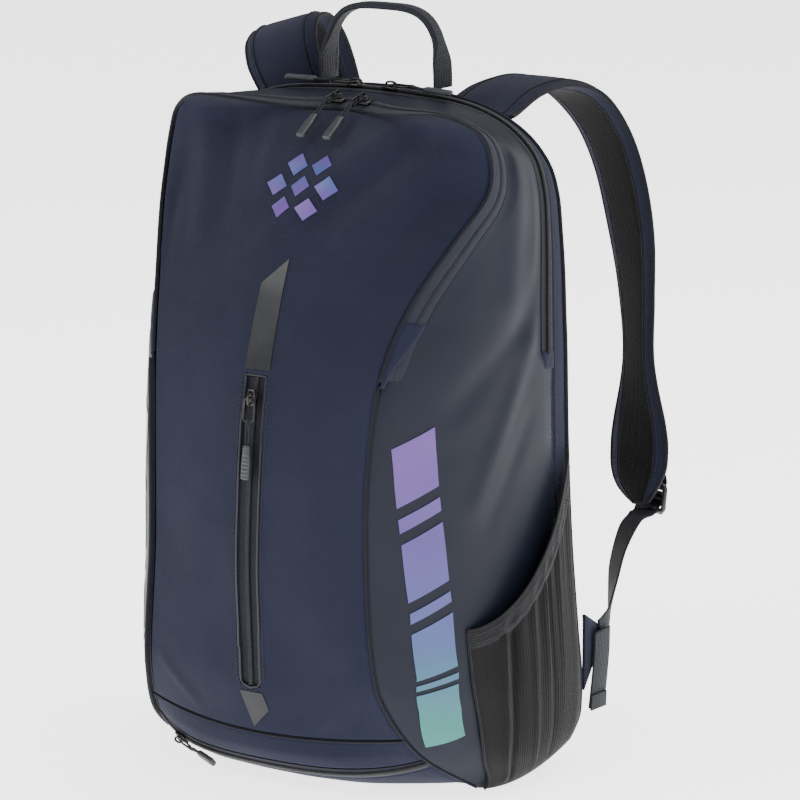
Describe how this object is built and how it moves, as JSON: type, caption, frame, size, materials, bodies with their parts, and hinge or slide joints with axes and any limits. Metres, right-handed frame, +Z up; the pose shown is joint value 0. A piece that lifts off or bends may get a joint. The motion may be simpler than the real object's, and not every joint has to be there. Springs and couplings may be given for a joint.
{
  "type": "racket backpack",
  "caption": "Soft racket backpack with fold-down zipped covers, upright front pocket, shoe compartment, mesh side pockets, top handle and two padded shoulder straps.",
  "frame": {"origin": "a point on the flat underside of the base, on the bag's centre plane", "axes": "+Z up along the bag, -Y out of the front panel, +X to the right of someone facing the front; +Y towards the wearer's back"},
  "size_m": [0.3388, 0.3563, 0.5541],
  "materials": {
    "navy_fabric": "matte woven polyester, fine twill grain",
    "coated_fabric": "smooth coated fabric, soft semi-gloss sheen",
    "webbing": "ribbed polyester webbing and elastic",
    "mesh": "black spacer and stretch mesh",
    "lining": "plain grey lining",
    "zip_tape": "zip tape with coil teeth",
    "moulded": "satin moulded plastic and piping",
    "slider_metal": "dark gunmetal zip sliders",
    "board": "flexible polyethylene sheet"
  },
  "bodies": {
    "root": {"back_panel": "navy_fabric", "frame_sheet": "board", "back_pad_left": "mesh", "back_pad_right": "mesh", "lumbar_pad": "mesh", "inner_sleeve": "lining", "rear_gusset_left": "navy_fabric", "rear_gusset_right": "navy_fabric", "rear_gusset_top": "navy_fabric", "main_zip_rear_tape": "zip_tape", "side_panel_lower_left": "coated_fabric", "side_panel_lower_right": "coated_fabric", "front_panel_lower": "navy_fabric", "pocket_zip_tape": "zip_tape", "pocket_zip_welt": "moulded", "front_pocket_lining": "lining", "divider_lower": "lining", "shoe_shelf": "lining", "base_strip": "navy_fabric", "base_zip_upper_tape": "zip_tape", "base_rear": "navy_fabric", "mesh_pocket_left": "mesh", "mesh_pocket_right": "mesh", "pocket_elastic_left": "webbing", "pocket_elastic_right": "webbing", "lower_webbing_left": "webbing", "lower_webbing_right": "webbing", "anchor_tab_left": "navy_fabric", "anchor_tab_right": "navy_fabric", "webbing_tail_left": "webbing", "webbing_tail_right": "webbing"},
    "main_cover": {"side_panel_upper_left": "coated_fabric", "side_panel_upper_right": "coated_fabric", "top_panel": "coated_fabric", "main_zip_front_tape": "zip_tape", "front_zip_rear_tape": "zip_tape", "divider_upper": "lining"},
    "front_flap": {"front_flap_panel": "navy_fabric", "front_zip_front_tape": "zip_tape", "front_piping": "moulded"},
    "base_flap": {"base_flap_panel": "navy_fabric", "base_zip_lower_tape": "zip_tape"},
    "handle": {"top_handle": "webbing"},
    "strap_left": {"strap_pad_left": "navy_fabric"},
    "strap_right": {"strap_pad_right": "navy_fabric"},
    "ladder_left": {"ladder_lock_left": "moulded"},
    "ladder_right": {"ladder_lock_right": "moulded"},
    "front_left_slider": {"front_left_slider": "slider_metal"},
    "front_left_pull": {"front_left_pull": "moulded"},
    "front_right_slider": {"front_right_slider": "slider_metal"},
    "front_right_pull": {"front_right_pull": "moulded"},
    "main_left_slider": {"main_left_slider": "slider_metal"},
    "main_left_pull": {"main_left_pull": "moulded"},
    "main_right_slider": {"main_right_slider": "slider_metal"},
    "main_right_pull": {"main_right_pull": "moulded"},
    "pocket_slider": {"pocket_slider": "slider_metal"},
    "pocket_pull": {"pocket_pull": "moulded"},
    "base_slider": {"base_slider": "slider_metal"},
    "base_pull": {"base_pull": "moulded"}
  },
  "joints": [
    {"name": "main_cover_fold", "type": "hinge", "parent": "root", "child": "main_cover", "pos_m": [0, -0.0955, 0.309], "axis": [1, 0, 0], "range_deg": [0, 24]},
    {"name": "front_flap_fold", "type": "hinge", "parent": "main_cover", "child": "front_flap", "pos_m": [0, -0.0955, 0.309], "axis": [1, 0, 0], "range_deg": [0, 60]},
    {"name": "base_flap_fold", "type": "hinge", "parent": "root", "child": "base_flap", "pos_m": [0, -0.0205, 0], "axis": [1, 0, 0], "range_deg": [0, 55]},
    {"name": "handle_fold", "type": "hinge", "parent": "root", "child": "handle", "pos_m": [0, 0.0715, 0.4925], "axis": [1, 0, 0], "range_deg": [-25, 35]},
    {"name": "strap_left_swing", "type": "hinge", "parent": "root", "child": "strap_left", "pos_m": [-0.075, 0.086, 0.482], "axis": [1, 0, 0], "range_deg": [-12, 4], "deforming": ["lower_webbing_left"]},
    {"name": "strap_right_swing", "type": "hinge", "parent": "root", "child": "strap_right", "pos_m": [0.075, 0.086, 0.482], "axis": [1, 0, 0], "range_deg": [-12, 4], "deforming": ["lower_webbing_right"]},
    {"name": "ladder_left_tilt", "type": "hinge", "parent": "strap_left", "child": "ladder_left", "pos_m": [-0.1358, 0.2031, 0.187], "axis": [0.9468, 0.3219, 0], "range_deg": [-12, 35]},
    {"name": "ladder_right_tilt", "type": "hinge", "parent": "strap_right", "child": "ladder_right", "pos_m": [0.1378, 0.2351, 0.181], "axis": [0.9468, -0.3219, 0], "range_deg": [-12, 35]},
    {"name": "front_left_zip_run", "type": "hinge", "parent": "front_flap", "child": "front_left_slider", "pos_m": [0.0204, -0.1369, 0.6723], "axis": [-0.242, 0.7084, 0.663], "range_deg": [0, 15.2]},
    {"name": "front_left_pull_flip", "type": "hinge", "parent": "front_left_slider", "child": "front_left_pull", "pos_m": [-0.0113, 0.0249, 0.4917], "axis": [-1, 0, 0], "range_deg": [0, 80]},
    {"name": "front_right_zip_run", "type": "hinge", "parent": "front_flap", "child": "front_right_slider", "pos_m": [-0.0204, -0.1369, 0.6723], "axis": [-0.242, -0.7084, -0.663], "range_deg": [0, 15.2]},
    {"name": "front_right_pull_flip", "type": "hinge", "parent": "front_right_slider", "child": "front_right_pull", "pos_m": [0.0113, 0.0249, 0.4917], "axis": [-1, 0, 0], "range_deg": [0, 80]},
    {"name": "main_left_zip_run", "type": "hinge", "parent": "main_cover", "child": "main_left_slider", "pos_m": [-0.0086, 0.1225, 0.0226], "axis": [0.0019, -0.9903, -0.1391], "range_deg": [0, 8.4]},
    {"name": "main_left_pull_flip", "type": "hinge", "parent": "main_left_slider", "child": "main_left_pull", "pos_m": [-0.0152, 0.0564, 0.4969], "axis": [-0.1191, 0.9929, 0], "range_deg": [0, 100]},
    {"name": "main_right_zip_run", "type": "hinge", "parent": "main_cover", "child": "main_right_slider", "pos_m": [0.0086, 0.1225, 0.0226], "axis": [0.0019, 0.9903, 0.1391], "range_deg": [0, 8.4]},
    {"name": "main_right_pull_flip", "type": "hinge", "parent": "main_right_slider", "child": "main_right_pull", "pos_m": [0.0152, 0.0564, 0.4969], "axis": [-0.0995, -0.995, 0], "range_deg": [0, 100]},
    {"name": "pocket_zip_run", "type": "hinge", "parent": "root", "child": "pocket_slider", "pos_m": [0, 0.6565, 0.1656], "axis": [1, 0, 0], "range_deg": [0, 14.4]},
    {"name": "pocket_pull_flip", "type": "hinge", "parent": "pocket_slider", "child": "pocket_pull", "pos_m": [0, -0.1017, 0.2904], "axis": [-1, 0, 0], "range_deg": [0, 130]},
    {"name": "base_zip_run", "type": "hinge", "parent": "root", "child": "base_slider", "pos_m": [0.0004, 0.1337, 0.0575], "axis": [0, -0.1851, 0.9827], "range_deg": [0, 44.1]},
    {"name": "base_pull_flip", "type": "hinge", "parent": "base_slider", "child": "base_pull", "pos_m": [-0.0852, -0.0721, 0.0169], "axis": [0.1867, 0.5895, -0.7859], "range_deg": [0, 60]}
  ]
}
